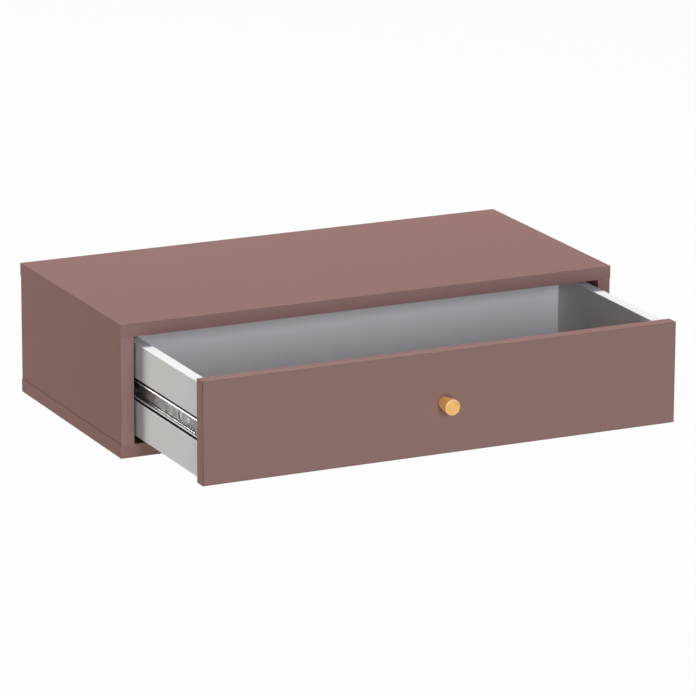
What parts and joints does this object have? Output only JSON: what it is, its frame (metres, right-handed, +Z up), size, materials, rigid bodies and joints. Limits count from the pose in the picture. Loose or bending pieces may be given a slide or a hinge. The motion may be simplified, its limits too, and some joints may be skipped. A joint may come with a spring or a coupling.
{
  "type": "wall console",
  "caption": "Wall-hung console: a flat board box with an inset drawer that slides out on ball-bearing runners, a brass knob and holes in a rear rail for wall screws.",
  "frame": {"origin": "on the wall plane, at the middle of the line of wall screws", "axes": "+X to the right seen from the front, +Y towards the wall, +Z up; the drawer opens along -Y"},
  "size_m": [0.72, 0.592, 0.181],
  "materials": {
    "coated_board": "matt coloured foil on board",
    "edge_band": "matt coloured plastic edge",
    "white_board": "white foil on board",
    "white_edge": "white plastic edge",
    "white_hardboard": "white foil on hardboard",
    "hardboard": "coloured foil on hardboard",
    "dowel_wood": "plain beech",
    "runner_steel": "zinc-plated rolled steel",
    "fitting_zinc": "die-cast zinc",
    "screw_steel": "zinc-plated steel",
    "ball_steel": "polished steel balls",
    "knob_brass": "satin brass",
    "bumper_rubber": "black rubber"
  },
  "bodies": {
    "cabinet": {"top_panel": "coated_board", "bottom_panel": "coated_board", "left_side_panel": "coated_board", "right_side_panel": "coated_board", "back_panel": "hardboard", "hanging_rail": "coated_board", "top_edge_bands": "edge_band", "bottom_edge_bands": "edge_band", "side_edge_bands": "edge_band", "cabinet_dowels": "dowel_wood", "cam_locks": "fitting_zinc", "cam_bolts": "screw_steel", "back_panel_nails": "screw_steel", "left_cabinet_runner": "runner_steel", "right_cabinet_runner": "runner_steel", "cabinet_runner_screws": "screw_steel"},
    "drawer": {"drawer_front": "coated_board", "drawer_front_edge_bands": "edge_band", "drawer_left_side": "white_board", "drawer_right_side": "white_board", "drawer_back": "white_board", "drawer_bottom": "white_hardboard", "drawer_box_edge_bands": "white_edge", "drawer_dowels": "dowel_wood", "drawer_cam_locks": "fitting_zinc", "drawer_cam_bolts": "screw_steel", "drawer_back_screws": "screw_steel", "drawer_bottom_screws": "screw_steel", "left_drawer_runner": "runner_steel", "right_drawer_runner": "runner_steel", "drawer_runner_screws": "screw_steel", "runner_bumpers": "bumper_rubber", "knob": "knob_brass", "knob_screw": "screw_steel"},
    "left_cage": {"left_ball_cage": "runner_steel", "left_runner_balls": "ball_steel"},
    "right_cage": {"right_ball_cage": "runner_steel", "right_runner_balls": "ball_steel"}
  },
  "joints": [
    {"name": "drawer_slide", "type": "slide", "parent": "cabinet", "child": "drawer", "axis": [0, -1, 0], "range_m": [-0.218, 0.0067]},
    {"name": "left_cage_slide", "type": "slide", "parent": "cabinet", "child": "left_cage", "axis": [0, -1, 0], "range_m": [-0.109, 0.00335]},
    {"name": "right_cage_slide", "type": "slide", "parent": "cabinet", "child": "right_cage", "axis": [0, -1, 0], "range_m": [-0.109, 0.00335]}
  ],
  "couplings": [
    {"joint": "left_cage_slide", "follows": "drawer_slide", "ratio": 0.5},
    {"joint": "right_cage_slide", "follows": "drawer_slide", "ratio": 0.5}
  ]
}
